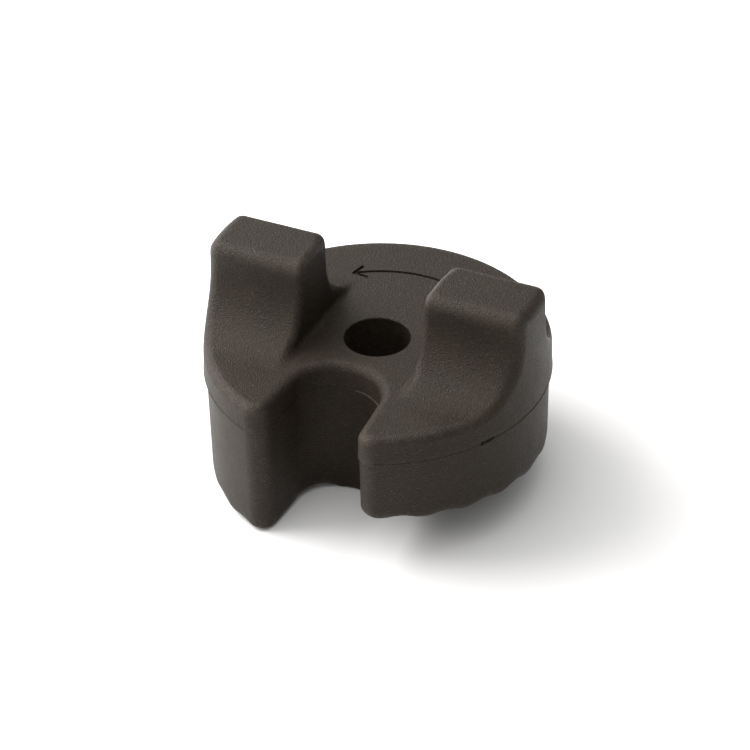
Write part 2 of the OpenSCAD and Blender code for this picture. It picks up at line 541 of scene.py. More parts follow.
@dataclass(frozen=True)
class MouldedPlastic(Finish):
    """Dark glass-filled plastic from a spark-eroded mould."""

    name: str = "grip_plastic"
    rough_low: float = 0.42
    rough_high: float = 0.54
    grain_per_metre: float = 5000.0
    mottle_per_metre: float = 160.0
    patches_per_metre: float = 900.0
    grain_strength: float = 1.0
    grain_depth: float = 0.00015
    dark: tuple[float, float, float] = (0.0120, 0.0080, 0.0045)
    pale: tuple[float, float, float] = (0.0180, 0.0125, 0.0075)
    # Pale tone of rubbed edges, also used as a painted highlight on edges and the slot's fin and as
    # painted glints in the specks.
    pale_wear_and_highlight: tuple[float, float, float] = (0.085, 0.072, 0.058)
    sheen: tuple[float, float, float] = (1.0, 0.93, 0.86)
    ior: float = 1.32
    # Pale specks: fibre specks in the plastic, and painted glints as well.
    speck_glint_share: float = 0.75
    speck_glint_gloss: float = 0.14
    # How far edges go towards the pale tone and how much glossier: edge wear with a painted highlight.
    wear_and_highlight_share: float = 0.5
    wear_and_highlight_gloss: float = 0.1

    def make(self, grain: bpy.types.NodeTree, wear_and_highlight_tree: bpy.types.NodeTree) -> bpy.types.Material:
        """Builds the material.

        Args:
            grain: The moulded grain group.
            wear_and_highlight_tree: The group that breaks up edge wear and painted highlight.

        Returns:
            The material.
        """
        material, g, surface = self.begin(grain)
        shader = material.node_tree.nodes["Principled BSDF"]
        shader.inputs["IOR"].default_value = self.ior
        shader.inputs["Specular Tint"].default_value = (*self.sheen, 1)
        edge = g.add("ShaderNodeAttribute", {"attribute_name": GripMoulding.EDGE})
        mask = self.edge_mark(g, wear_and_highlight_tree, edge.outputs["Fac"])
        glint_specks = surface.outputs["Glint Specks"]
        colour = self.blend(g, g.remap(surface.outputs["Mottle"], *TONE_RANGE, 0, 1),
                            self.dark, self.pale)
        # Pale specks, partly fibre specks and partly painted glints.
        colour = self.blend(g, g.math("MULTIPLY", glint_specks, self.speck_glint_share), colour, self.pale_wear_and_highlight)
        # Edges and the slot's fin lighter: edge wear with a painted highlight, the fin a painted
        # highlight only.
        colour = self.blend(g, g.math("MULTIPLY", mask, self.wear_and_highlight_share), colour, self.pale_wear_and_highlight)
        g.feed(shader.inputs["Base Color"], colour)
        rough = self.roughness(g, surface)
        for where, gloss in ((mask, self.wear_and_highlight_gloss), (glint_specks, self.speck_glint_gloss)):
            rough = g.math("SUBTRACT", rough, g.math("MULTIPLY", where, gloss))
        g.feed(shader.inputs["Roughness"], rough)
        return material


@dataclass(frozen=True)
class ZincSteel(Finish):
    """Turned steel with a thin zinc coat, whose texture is the grain group's."""

    name: str = "bush_steel"
    rough_low: float = 0.26
    rough_high: float = 0.44
    grain_per_metre: float = 2500.0
    mottle_per_metre: float = 420.0
    patches_per_metre: float = 1500.0
    grain_strength: float = 0.25
    grain_depth: float = 0.00002
    clean: tuple[float, float, float] = (0.60, 0.60, 0.57)
    dull: tuple[float, float, float] = (0.42, 0.41, 0.37)
    dull_range: tuple[float, float] = (0.1, 0.6)

    def make(self, grain: bpy.types.NodeTree, wear_and_highlight_tree: bpy.types.NodeTree) -> bpy.types.Material:
        """Builds the material.

        Args:
            grain: The moulded grain group.
            wear_and_highlight_tree: The group that breaks up wear and stains; here it makes stains.

        Returns:
            The material.
        """
        material, g, surface = self.begin(grain)
        shader = material.node_tree.nodes["Principled BSDF"]
        shader.inputs["Metallic"].default_value = 1.0
        stain = self.edge_mark(g, wear_and_highlight_tree, surface.outputs["Mottle"])
        share = g.remap(stain, *self.dull_range, 0, 1)
        g.feed(shader.inputs["Base Color"], self.blend(g, share, self.clean, self.dull))
        g.feed(shader.inputs["Roughness"], self.roughness(g, surface))
        return material


# ---------------------------------------------------------------- the grip


@dataclass(frozen=True)
class GripSizes:
    """Driving sizes of the moulding."""

    rim_r: float
    wing_top: float
    bore_r: float
    bush_r: float
    bush_top: float
    plateau: float = 22.0
    parting: float = 17.9
    flash: float = 0.09
    parting_step: float = 0.35
    step_height: float = 0.3
    upper_draft: float = math.radians(1.0)
    lower_draft: float = math.radians(0.6)
    inner_draft: float = math.radians(1.0)
    rim_round_front: float = 1.45
    rim_round_back: float = 0.45
    wing_rim_round: float = 1.7
    wing_rim_from: float = 1.0
    wing_rim_over: float = 4.0
    wing_gap: float = 18.4
    wing_front: float = 5.2
    wing_back: float = 4.2
    thumb_r: float = 8.8
    back_r: float = 8.2
    inner_foot_r: float = 0.9
    front_top_round: float = 1.9
    back_top_round: float = 0.55
    inner_round: float = 1.15
    inner_round_back: float = 1.9
    toe_round: float = 0.15
    round_per_rise: float = 0.5
    foot_per_rise: float = 0.7
    least_foot_r: float = 0.02
    front_rise_from: float = 1.0
    front_rise_over: float = 2.0
    back_rise_from: float = 0.15
    back_rise_over: float = 1.0
    slot_w: float = 13.1
    slot_depth_y: float = 8.0
    mouth_flare: float = 0.4
    mouth_round: float = 2.3
    ramp_start: float = 8.95
    ramp_lead: float = 8.85
    wave_count: int = 24
    wave_h: float = 0.45
    wave_phase: float = math.radians(25)
    ramp_round: float = 0.4
    top_wall: float = 3.0
    skirt_wall: float = 3.2
    slot_wall: float = 2.6
    hub_r: float = 9.3
    rib_count: int = 5
    rib_w: float = 2.0
    rib_setback: float = 1.6
    wing_wall: float = 2.7
    hollow_overlap: float = 1.0
    corner_round: float = 0.6
    hollow_round: float = 0.3
    hub_foot_round: float = 0.5
    hub_slot_round: float = 0.4

    @classmethod
    def from_frame(cls) -> "GripSizes":
        """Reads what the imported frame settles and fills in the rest.

        Returns:
            The sizes.
        """
        grip_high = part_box("grip")[1] / MM
        bush_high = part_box("threaded_bush")[1] / MM
        bore = next(m for m in frame["record"]["mounts"] if m["name"] == "through_bore")
        return cls(rim_r=grip_high.x, wing_top=grip_high.z, bore_r=bore["dims"]["r_mm"],
                   bush_r=bush_high.x, bush_top=bush_high.z)


class GripMoulding:
    """The one-piece moulding: disc, wings, slot, ramp, hub and ribs."""

    EDGE = "edge"
    STEP = 0.25
    MARGIN = 4
    FACES_KEPT = 170_000
    CRISP_PAST = 38

    def __init__(self, sizes: GripSizes) -> None:
        """Keeps the sizes and works out the skin and the slot's mouth corners.

        Args:
            sizes: Driving sizes of the moulding.
        """
        self.s = sizes
        self.skin_r = sizes.rim_r - sizes.flash
        self.slot_end_y = -(sizes.slot_depth_y + sizes.slot_w / 2)
        self.mouth_x = sizes.slot_w / 2 + sizes.mouth_flare + sizes.mouth_round
        self.mouth_y = -math.sqrt((self.skin_r - sizes.mouth_round) ** 2 - self.mouth_x ** 2)
        flare = math.atan2(sizes.mouth_flare, self.slot_end_y - self.mouth_y)
        self.mouth_lean = math.cos(math.atan2(self.mouth_y, self.mouth_x) + math.pi - flare)

    # -- fields over the plan

    def slot_field(self, x: np.ndarray, y: np.ndarray) -> np.ndarray:
        """Distance from the slot's outline, negative in the slot.

        Args:
            x: Positions across the wings.
            y: Positions away from the slot.

        Returns:
            Distance in the plan.
        """
        s = self.s
        towards_rim = (self.slot_end_y - y) / (self.slot_end_y - self.mouth_y)
        round_end = np.hypot(x, y - self.slot_end_y)
        straight = np.abs(x) - s.mouth_flare * np.clip(towards_rim, 0, 1)
        return np.where(towards_rim < 0, round_end, straight) - s.slot_w / 2

    def ramp_height(self, x: np.ndarray, y: np.ndarray) -> np.ndarray:
        """Height of the waved ramp, by the angle from the slot.

        Args:
            x: Positions across the wings.
            y: Positions away from the slot.

        Returns:
            Height above the clamping face.
        """
        s = self.s
        angle = np.arctan2(x, -y) % TURN
        wave = np.cos((angle - s.wave_phase) * s.wave_count)
        return s.ramp_start - s.ramp_lead * angle / TURN - s.wave_h / 2 * wave

    # -- solids

    def outside(self, r: np.ndarray, z: np.ndarray) -> np.ndarray:
        """The drafted outside, widest at the parting line.

        Args:
            r: Distances from the axis.
            z: Heights above the clamping face.

        Returns:
            Signed distance, negative inside.
        """
        s = self.s
        upper = (r - self.skin_r + (z - s.parting) * math.tan(s.upper_draft)) * math.cos(s.upper_draft)
        skirt_r = self.skin_r - s.parting_step * smooth_step((s.parting - z) / s.step_height)
        lower = (r - skirt_r - (z - s.parting) * math.tan(s.lower_draft)) * math.cos(s.lower_draft)
        return np.where(z > s.parting, upper, lower)

    def slope_height(self, y: np.ndarray) -> np.ndarray:
        """Height that the hollow slopes before and behind the wings have reached.

        Args:
            y: Positions away from the slot.

        Returns:
            Height above the flat top.
        """
        s = self.s
        front = np.clip((y + s.wing_front + s.thumb_r) / s.thumb_r, 0, 1)
        back = np.clip((s.wing_back + s.back_r - y) / s.back_r, 0, 1)
        rise_front = s.thumb_r * (1 - np.sqrt(1 - front ** 2))
        rise_back = s.back_r * (1 - np.sqrt(1 - back ** 2))
        return np.minimum(rise_front, rise_back)

    def wings(self, x: np.ndarray, y: np.ndarray, z: np.ndarray) -> np.ndarray:
        """The flat top with both wings and their hollow slopes.

        Args:
            x: Positions across the wings.
            y: Positions away from the slot.
            z: Heights above the clamping face.

        Returns:
            Signed distance, negative inside.
        """
        s = self.s
        in_front = y < (s.wing_back - s.wing_front) / 2
        plateau = z - s.plateau
        slab = np.maximum(-y - s.wing_front, y - s.wing_back)
        top_round = np.where(in_front, s.front_top_round, s.back_top_round)
        slab = round_meet(slab, z - s.wing_top, top_round)
        side = round_union(plateau + 0 * slab, slab, np.where(in_front, s.thumb_r, s.back_r))
        inner = s.wing_gap / 2 - np.abs(x) + plateau * math.tan(s.inner_draft)
        inner_round = eased(s.inner_round, s.inner_round_back, y / s.wing_back)
        rise = self.slope_height(y)
        low_round = np.minimum(inner_round, s.toe_round + s.round_per_rise * rise)
        wing = round_meet(side, inner, np.where(in_front, inner_round, low_round))
        foot_r = np.clip(s.foot_per_rise * rise, s.least_foot_r, s.inner_foot_r)
        foot = round_union(plateau + 0 * wing, wing, foot_r)
        across = (np.abs(x) - s.wing_gap / 2 + s.inner_foot_r) / (s.inner_foot_r + s.inner_round)
        fade = eased(plateau, side, across)
        tall = np.where(in_front, (rise - s.front_rise_from) / s.front_rise_over,
                        (rise - s.back_rise_from) / s.back_rise_over)
        return eased(fade, foot, tall)

    def hollow(self, x: np.ndarray, y: np.ndarray, z: np.ndarray) -> np.ndarray:
        """The space under the disc, between hub, skirt, slot wall and ribs.

        Args:
            x: Positions across the wings.
            y: Positions away from the slot.
            z: Heights above the clamping face.

        Returns:
            Signed distance, negative inside.
        """
        s = self.s
        r = np.hypot(x, y)
        ceiling = s.plateau - s.top_wall
        taper = (ceiling - z) * math.tan(s.inner_draft)
        space = round_meet(r - (self.skin_r - s.skirt_wall) - taper, z - ceiling, s.corner_round)
        space = round_meet(space, s.hub_r - taper - r, s.corner_round)
        space = round_meet(space, s.slot_wall - taper - self.slot_field(x, y), s.corner_round)
        for i in range(1, s.rib_count + 1):
            a = TURN * i / (s.rib_count + 1)
            along = x * math.sin(a) - y * math.cos(a)
            across = np.abs(x * math.cos(a) + y * math.sin(a)) - s.rib_w / 2 + taper / 2
            foot = s.ramp_start - s.ramp_lead * i / (s.rib_count + 1) + s.rib_setback
            rib = round_meet(np.maximum(across, -along), foot - z, s.corner_round)
            space = round_meet(space, -rib, s.corner_round)
        return space

    def wing_hollow(self, x: np.ndarray, y: np.ndarray, z: np.ndarray) -> np.ndarray:
        """The narrow space inside each wing.

        Args:
            x: Positions across the wings.
            y: Positions away from the slot.
            z: Heights above the clamping face.

        Returns:
            Signed distance, negative inside.
        """
        s = self.s
        top = s.wing_top - s.wing_wall
        inner = s.wing_gap / 2 + s.wing_wall
        outer = s.rim_r - (s.wing_top - s.parting) * math.tan(s.upper_draft) - s.wing_wall
        half_l, half_w = (outer - inner) / 2, (s.wing_front + s.wing_back) / 2 - s.wing_wall
        middle_y = (s.wing_back - s.wing_front) / 2
        along = np.abs(np.abs(x) - (inner + outer) / 2) - half_l
        across = np.abs(y - middle_y) - half_w
        box = round_meet(along, across, s.corner_round)
        box = round_meet(box, z - top, s.corner_round)
        return np.maximum(box, s.plateau - s.top_wall - s.hollow_overlap - z)

    def solid(self, x: np.ndarray, y: np.ndarray, z: np.ndarray) -> np.ndarray:
        """Signed distance to the whole moulding, bore and small marks left out.

        Args:
            x: Positions across the wings.
            y: Positions away from the slot.
            z: Heights above the clamping face.

        Returns:
            Distance in millimetres, negative inside.
        """
        s = self.s
        r = np.hypot(x, y)
        slot = self.slot_field(x, y)
        walls = round_meet_leaning(self.outside(r, z), -slot + 0 * z, s.mouth_round, self.mouth_lean)
        rim_round = eased(s.rim_round_front, s.rim_round_back, y / s.wing_back)
        rim_round = eased(rim_round, s.wing_rim_round,
                          (z - s.plateau - s.wing_rim_from) / s.wing_rim_over)
        shape = round_meet(self.wings(x, y, z), walls, rim_round)
        shape = round_meet(shape, self.ramp_height(x, y) - z, s.ramp_round)
        for space in (self.hollow(x, y, z), self.wing_hollow(x, y, z)):
            shape = round_meet(shape, -space, s.hollow_round)
        hub = r - s.hub_r + (s.plateau - s.top_wall - z) * math.tan(s.inner_draft)
        hub = round_meet(hub, -z, s.hub_foot_round)
        hub = np.maximum(hub, z - (s.plateau - s.top_wall / 2))
        hub = round_meet(hub, -slot + 0 * z, s.hub_slot_round)
        return np.minimum(shape, hub)

    # -- meshing

    def slope(self, p: np.ndarray, reach: float) -> np.ndarray:
        """Gradient of the solid's distance at points, by differences over reach."""
        steps = np.eye(3) * reach
        return np.stack([(self.solid(*(p + d).T) - self.solid(*(p - d).T)) / (2 * reach)
                         for d in steps], 1)

    def snap(self, mesh: bpy.types.Mesh, rounds: int) -> None:
        """Moves a mesh's vertices onto the true surface.

        Args:
            mesh: The mesh.
            rounds: Number of Newton steps.
        """
        reach, least_size = 0.01, 0.25
        p = corner_points(mesh)
        for _ in range(rounds):
            gradient = self.slope(p, reach)
            size = np.maximum((gradient ** 2).sum(1), least_size)
            move = -self.solid(*p.T)[:, None] * gradient / size[:, None]
            p += np.clip(move, -self.STEP / 2, self.STEP / 2)
        set_corner_points(mesh, p)

    def sampled(self) -> bpy.types.Object:
        """Samples the solid on a grid and takes its surface from there.

        Returns:
            The grip before anything is cut out of it or added.
        """
        s, step = self.s, self.STEP
        side = math.ceil((s.rim_r + self.MARGIN * step) / step)
        up = math.ceil((s.wing_top + self.MARGIN * step) / step)
        low = -self.MARGIN
        x = (np.arange(-side, side + 1, dtype=np.float32) * step)[:, None, None]
        y = (np.arange(-side, side + 1, dtype=np.float32) * step)[None, :, None]
        z = (np.arange(low, up + 1, dtype=np.float32) * step)[None, None, :]
        field = np.ascontiguousarray(np.clip(self.solid(x, y, z), -1, 1), dtype=np.float32)
        grid = openvdb.FloatGrid(1.0)
        grid.copyFromArray(field)
        points, quads = grid.convertToQuads(isovalue=0.0)
        points = (points + np.array([-side, -side, low])) * step
        piece = new_object("grip", mesh_from_grid("grip", points, quads[:, ::-1]))
        self.snap(piece.data, 2)
        return piece

    def build(self) -> bpy.types.Object:
        """Builds the finished moulding.

        Returns:
            The grip, without its material.
        """
        piece = self.sampled()
        LOG.info("grip sampled: %d faces", len(piece.data.polygons))
        thin = piece.modifiers.new("thin", "DECIMATE")
        thin.ratio = min(1.0, self.FACES_KEPT / (2 * len(piece.data.polygons)))
        settle(piece)
        # Thinning may leave a point a hair below the clamping face.
        points = corner_points(piece.data)
        points[:, 2] = np.maximum(points[:, 2], 0)
        set_corner_points(piece.data, points)
        carve(piece, self.bore_tool(), Joining.CUT)
        flash = PartingFlash(self)
        carve(piece, flash.build(), Joining.ADD)
        carve(piece, flash.slot_fin(), Joining.ADD)
        carve(piece, flash.gate_scar(), Joining.CUT)
        for tool in DirectionMark(self.s.plateau).tools():
            carve(piece, tool, Joining.CUT)
        self.finish_surface(piece)
        return piece

    def bore_tool(self) -> bpy.types.Object:
        """What is bored out of the grip: the stud's clearance and the bush's seat.

        Returns:
            The cutter.
        """
        s = self.s
        core, past, lip, bite, sides = 0.001, 1.0, 0.12, 0.04, 160
        seat_r = s.bush_r - bite
        outline = [(core, -past), (seat_r, -past), (seat_r, s.bush_top), (s.bore_r, s.bush_top),
                   (s.bore_r, s.plateau - lip), (s.bore_r + lip, s.plateau),
                   (s.bore_r + lip, s.plateau + past), (core, s.plateau + past)]
        return turned_mesh("bore_tool", outline, sides)

    def finish_surface(self, piece: bpy.types.Object) -> None:
        """Marks edges for wear with a painted highlight, and the slot's fin for a painted highlight,
        as an attribute, and shades the surface smooth.

        Args:
            piece: The finished grip.
        """
        mesh = piece.data
        p = corner_points(mesh)
        reach, least_bend = 0.7, 0.15
        fin_depth, fin_half_height = 0.05, 0.5
        around = sum(self.solid(*(p + d).T) for d in np.vstack([np.eye(3), -np.eye(3)]) * reach)
        bend = (around - 6 * self.solid(*p.T)) / reach
        # The slot's fin is marked in full: its pale colour is a painted highlight where the fin
        # catches the light.
        fin = self.slot_field(p[:, 0], p[:, 1]) < -fin_depth
        fin &= (np.abs(p[:, 2] - self.s.parting) < fin_half_height) & (p[:, 1] > self.slot_end_y)
        # Bent edges are marked for pale edge wear together with a painted highlight along them.
        edge_mark = np.where(fin, 1, np.clip(bend - least_bend, 0, 1))
        edge = mesh.attributes.new(self.EDGE, "FLOAT", "POINT")
        edge.data.foreach_set("value", edge_mark.astype(np.float32))
        shade_by_angle(piece, self.CRISP_PAST)


def shade_by_angle(piece: bpy.types.Object, degrees: float) -> None:
    """Shades a piece smooth, with edges sharper than an angle kept crisp.

    Args:
        piece: The piece.
        degrees: Angle between faces past which an edge is crisp.
    """
    piece.data.shade_smooth()
    piece.data.set_sharp_from_angle(angle=math.radians(degrees))
    weigh = piece.modifiers.new("weigh", "WEIGHTED_NORMAL")
    weigh.keep_sharp = True
    settle(piece)


@dataclass(frozen=True)
class Bead:
    """A bead of uneven thickness that runs at the parting line.

    A bead that doesn't run all the way round has the angles, in degrees, and the
    number of points of its arc, and how far it is sunk into the wall.
    """

    name: str
    thickness: float
    unevenness: float
    patches_per_metre: float
    angles: tuple[float, float] = (0.0, 0.0)
    points: int = 0
    sunk: float = 0.0


class PartingFlash:
    """The thin flash where the two mould halves met, round rim and slot."""

    SEED_SHIFT = 3.7
    SPACING = 0.25
    ROOM_USED = 0.8
    FIN = Bead("slot_fin", 0.15, 1.3, 420.0, (88, 34), 40, 0.02)
    SCAR = Bead("gate_scar", 0.46, 2.2, 1300.0, (-30.2, -23.8), 30, 0.22)

    def __init__(self, grip: GripMoulding) -> None:
        """Keeps the grip that the flash runs round."""
        self.s = grip.s
        self.grip = grip

    def route(self) -> list[tuple[float, float]]:
        """Follows the grip's outline at the parting line, once round.

        Returns:
            Points of the plan, without the first one again at the end.
        """
        s, r = self.s, self.grip.skin_r
        half = s.slot_w / 2
        corner_x, corner_y, end_y = self.grip.mouth_x, self.grip.mouth_y, self.grip.slot_end_y
        rim_from = math.atan2(corner_y, corner_x)
        points: list[tuple[float, float]] = []

        def arc(cx: float, cy: float, radius: float, start: float, end: float) -> None:
            """Adds an arc's points, its last one left to the next stretch.

            Args:
                cx: Centre across the wings.
                cy: Centre away from the slot.
                radius: The arc's radius.
                start: Angle that it starts at.
                end: Angle that it ends at.
            """
            count = max(4, round(abs(end - start) * radius / self.SPACING))
            for i in range(count):
                a = start + (end - start) * i / count
                points.append((cx + radius * math.cos(a), cy + radius * math.sin(a)))

        def line(x0: float, y0: float, x1: float, y1: float) -> None:
            """Adds a straight stretch's points, its last one left out.

            Args:
                x0: Start across the wings.
                y0: Start away from the slot.
                x1: End across the wings.
                y1: End away from the slot.
            """
            count = round(math.hypot(x1 - x0, y1 - y0) / self.SPACING)
            for i in range(count):
                points.append((x0 + (x1 - x0) * i / count, y0 + (y1 - y0) * i / count))

        mouth = half + s.mouth_flare
        arc(0, 0, r, rim_from, math.pi - rim_from)
        arc(-corner_x, corner_y, s.mouth_round, math.pi - rim_from, TURN)
        line(-mouth, corner_y, -half, end_y)
        arc(0, end_y, half, math.pi, 0)
        line(half, end_y, mouth, corner_y)
        arc(corner_x, corner_y, s.mouth_round, math.pi, TURN + rim_from)
        return points

    def tree(self) -> bpy.types.NodeTree:
        """Builds the Geometry Nodes tree that sweeps a bead along a route.

        Returns:
            The tree.
        """
        tree = bpy.data.node_groups.new("sweep_flash", "GeometryNodeTree")
        add_sockets(tree, {"Geometry": GEOMETRY, "Thickness": FLOAT, "Unevenness": FLOAT,
                           "Patches Per Metre": FLOAT, "Seed Shift": FLOAT,
                           "Material": "NodeSocketMaterial"}, {"Geometry": GEOMETRY})
        g = Graph(tree)
        start = g.add("NodeGroupInput")
        curve = g.add("GeometryNodeMeshToCurve", None, Mesh=start.outputs["Geometry"])
        noise = g.add("ShaderNodeTexNoise", {"noise_dimensions": "4D"},
                      Vector=g.add("GeometryNodeInputPosition").outputs[0],
                      W=start.outputs["Seed Shift"], Scale=start.outputs["Patches Per Metre"],
                      Detail=3.0)
        uneven = g.math("MULTIPLY", g.math("SUBTRACT", noise.outputs["Fac"], 0.5),
                        start.outputs["Unevenness"])
        least = 0.25
        radius = g.math("MAXIMUM", g.math("ADD", uneven, 1.0), least)
        radius = g.math("MULTIPLY", radius, start.outputs["Thickness"])
        sized = g.add("GeometryNodeSetCurveRadius", None, Curve=curve.outputs[0], Radius=radius)
        upright = g.add("GeometryNodeSetCurveNormal", {"mode": "Z_UP"}, Curve=sized.outputs[0])
        ring = g.add("GeometryNodeCurvePrimitiveCircle", None, Resolution=6, Radius=1.0)
        sweep = g.add("GeometryNodeCurveToMesh", None, Curve=upright.outputs[0],
                      Profile_Curve=ring.outputs["Curve"], Scale=radius, Fill_Caps=True)
        end_tree(g, start, sweep.outputs[0])
        return tree

    def swept(self, bead: Bead, points: list[tuple[float, float]],
              closed: bool) -> bpy.types.Object:
        """Sweeps a bead along a route at the parting line.

        Args:
            bead: The bead, whose thickness is its mean radius.
            points: The route in plan.
            closed: Whether the route returns to its start.

        Returns:
            The bead, a closed mesh.
        """
        n = len(points)
        mesh = bpy.data.meshes.new(bead.name)
        rows = [(x * MM, y * MM, self.s.parting * MM) for x, y in points]
        mesh.from_pydata(rows, [(i, (i + 1) % n) for i in range(n if closed else n - 1)], [])
        piece = new_object(bead.name, mesh)
        run_tree(piece, self.tree(), {
            "Thickness": bead.thickness * MM, "Unevenness": bead.unevenness,
            "Patches Per Metre": bead.patches_per_metre, "Seed Shift": self.SEED_SHIFT})
        return piece

    def along_wall(self, bead: Bead, middle_y: float, wall_r: float) -> bpy.types.Object:
        """Sweeps a bead along part of a round wall.

        Args:
            bead: The bead, with its angles.
            middle_y: Place of the wall's axis away from the slot.
            wall_r: Radius of the wall.

        Returns:
            The bead, a closed mesh.
        """
        radius = wall_r - bead.sunk
        first, last = (math.radians(angle) for angle in bead.angles)
        points = [(radius * math.cos(a), middle_y + radius * math.sin(a))
                  for a in np.linspace(first, last, bead.points)]
        return self.swept(bead, points, False)

    def build(self) -> bpy.types.Object:
        """Builds the flash as a closed ring, half sunk in the skin."""
        return self.swept(Bead("flash", self.s.flash * self.ROOM_USED, 0.9, 260.0), self.route(), True)

    def slot_fin(self) -> bpy.types.Object:
        """Builds the taller fin of flash on the right of the slot's round end."""
        return self.along_wall(self.FIN, self.grip.slot_end_y, self.s.slot_w / 2)

    def gate_scar(self) -> bpy.types.Object:
        """Builds the cutter of the ragged nick where the gate was broken off."""
        return self.along_wall(self.SCAR, 0.0, self.grip.skin_r)


@dataclass(frozen=True)
class DirectionMark:
    """A plain curved arrow sunk into the flat top behind the bore."""

    plateau: float
    radius: float = 17.0
    width: float = 0.7
    depth: float = 0.35
    angle: float = math.radians(46)
    middle: float = math.radians(104)
    head: float = 2.4
    head_turns: tuple[float, float] = (math.radians(-50), math.radians(230))
    head_overlap: float = 0.1
    floor_share: float = 0.6
    mouth_share: float = 1.3
    overshoot: float = 1.0
    arc_points: int = 24

    def stroke(self, name: str, spine: list[tuple[float, float]]) -> bpy.types.Object:
        """Makes the cutter of one stroke, wider at its mouth than at its floor.

        Args:
            name: Name of the cutter.
            spine: Points of the plan that it runs along.

        Returns:
            The cutter, a closed mesh.
        """
        low, high = self.plateau - self.depth, self.plateau + self.overshoot
        line = np.array(spine, float)
        along = np.gradient(line, axis=0)
        along /= np.linalg.norm(along, axis=1)[:, None]
        side = np.stack([-along[:, 1], along[:, 0]], 1) * (self.width / 2)
        floor, mouth = self.floor_share, self.mouth_share
        rows = []
        for p, d in zip(line, side):
            rows += [(*(p - floor * d), low), (*(p + floor * d), low),
                     (*(p + mouth * d), high), (*(p - mouth * d), high)]
        n = len(line)
        quads = [(4 * i + k, 4 * i + (k + 1) % 4, 4 * i + 4 + (k + 1) % 4, 4 * i + 4 + k)
                 for i in range(n - 1) for k in range(4)]
        quads += [(0, 3, 2, 1), (4 * n - 4, 4 * n - 3, 4 * n - 2, 4 * n - 1)]
        return new_object(name, mesh_from_grid(name, np.array(rows), np.array(quads)))

    def tools(self) -> list[bpy.types.Object]:
        """Makes the cutters of the arrow's arc and of its two head strokes.

        Returns:
            The cutters, in the order that they are used.
        """
        start = self.middle - self.angle / 2
        end = start + self.angle
        arc = [(self.radius * math.cos(a), self.radius * math.sin(a))
               for a in np.linspace(start, end, self.arc_points)]
        tip = np.array(arc[-1])
        tools = [self.stroke("mark_arc", arc)]
        for turn in self.head_turns:
            way = np.array([math.cos(end + turn), math.sin(end + turn)])
            ends = [tuple(tip - self.head_overlap * way), tuple(tip + self.head * way)]
            tools.append(self.stroke("mark_head", ends))
        return tools


# ---------------------------------------------------------------- the bush


@dataclass(frozen=True)
class BushSizes:
    """Sizes of the turned steel bush."""

    outer_r: float
    length: float
    core_r: float
    thread_r: float = 4.02
    pitch: float = 1.25
    chamfer: float = 0.55
    collar: float = 1.6
    groove_w: float = 2.4
    groove_depth: float = 0.8
    knurl_depth: float = 0.28
    knurl_count: int = 40
    knurl_lead: float = 39.0
    end_bevel: float = 0.25
    collar_bevel: float = 0.15
    groove_bevel: float = 0.1
    tail_bevel_w: float = 0.4
    tail_bevel_h: float = 0.5
    thread_row: float = 0.13
    plain_row: float = 0.22
    run_out: float = 1.4
    sides: int = 200

    @classmethod
    def from_frame(cls) -> "BushSizes":
        """Reads the bush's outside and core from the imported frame.

        Returns:
            The sizes.
        """
        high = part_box("threaded_bush")[1] / MM
        thread = next(m for m in frame["record"]["mounts"] if m["name"] == "thread")
        return cls(outer_r=high.x, length=high.z, core_r=thread["dims"]["r_mm"])


